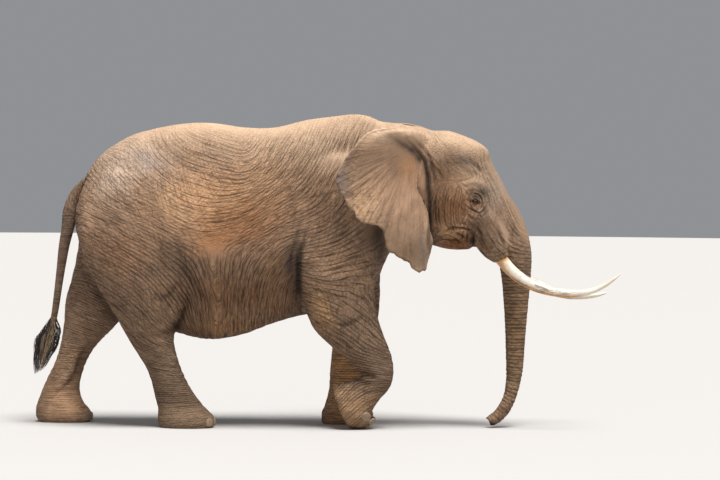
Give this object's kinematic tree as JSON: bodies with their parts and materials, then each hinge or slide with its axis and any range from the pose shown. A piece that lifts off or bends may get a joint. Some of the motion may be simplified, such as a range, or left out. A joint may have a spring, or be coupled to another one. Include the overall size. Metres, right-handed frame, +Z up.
{
  "type": "african elephant figure",
  "caption": "Life-size still figure of an adult female African savanna elephant in mid-walk, with spread ears, tusks and hanging trunk.",
  "frame": {"origin": "on the floor under the middle of the figure's bounding box", "axes": "+X the way the animal walks, +Y to its left, +Z up"},
  "size_m": [4.6799, 1.4504, 2.4983],
  "materials": {
    "skin": "dry, deeply wrinkled grey-brown hide with sandy dust",
    "ivory": "worn, satin, stained brown near the lip",
    "eye": "wet, dark brown",
    "nail": "dull, scuffed horn",
    "hair": "stiff black bristles with some pale ones"
  },
  "bodies": {
    "root": {"torso": "skin", "neck": "skin", "head": "skin", "lower_jaw": "skin", "trunk_upper": "skin", "trunk_middle": "skin", "trunk_lower": "skin", "trunk_tip": "skin", "ear_left": "skin", "ear_right": "skin", "left_foreleg_upper": "skin", "left_foreleg_lower": "skin", "left_forefoot": "skin", "right_foreleg_upper": "skin", "right_foreleg_lower": "skin", "right_forefoot": "skin", "left_hind_leg_upper": "skin", "left_hind_leg_lower": "skin", "left_hind_foot": "skin", "right_hind_leg_upper": "skin", "right_hind_leg_lower": "skin", "right_hind_foot": "skin", "tail_base": "skin", "tail_lower": "skin", "eye_left": "eye", "eye_right": "eye", "tusk_left": "ivory", "tusk_right": "ivory", "tail_tuft": "hair", "toenail_left_fore_1": "nail", "toenail_left_fore_2": "nail", "toenail_left_fore_3": "nail", "toenail_left_fore_4": "nail", "toenail_right_fore_1": "nail", "toenail_right_fore_2": "nail", "toenail_right_fore_3": "nail", "toenail_right_fore_4": "nail", "toenail_left_hind_1": "nail", "toenail_left_hind_2": "nail", "toenail_left_hind_3": "nail", "toenail_right_hind_1": "nail", "toenail_right_hind_2": "nail", "toenail_right_hind_3": "nail"}
  },
  "joints": []
}
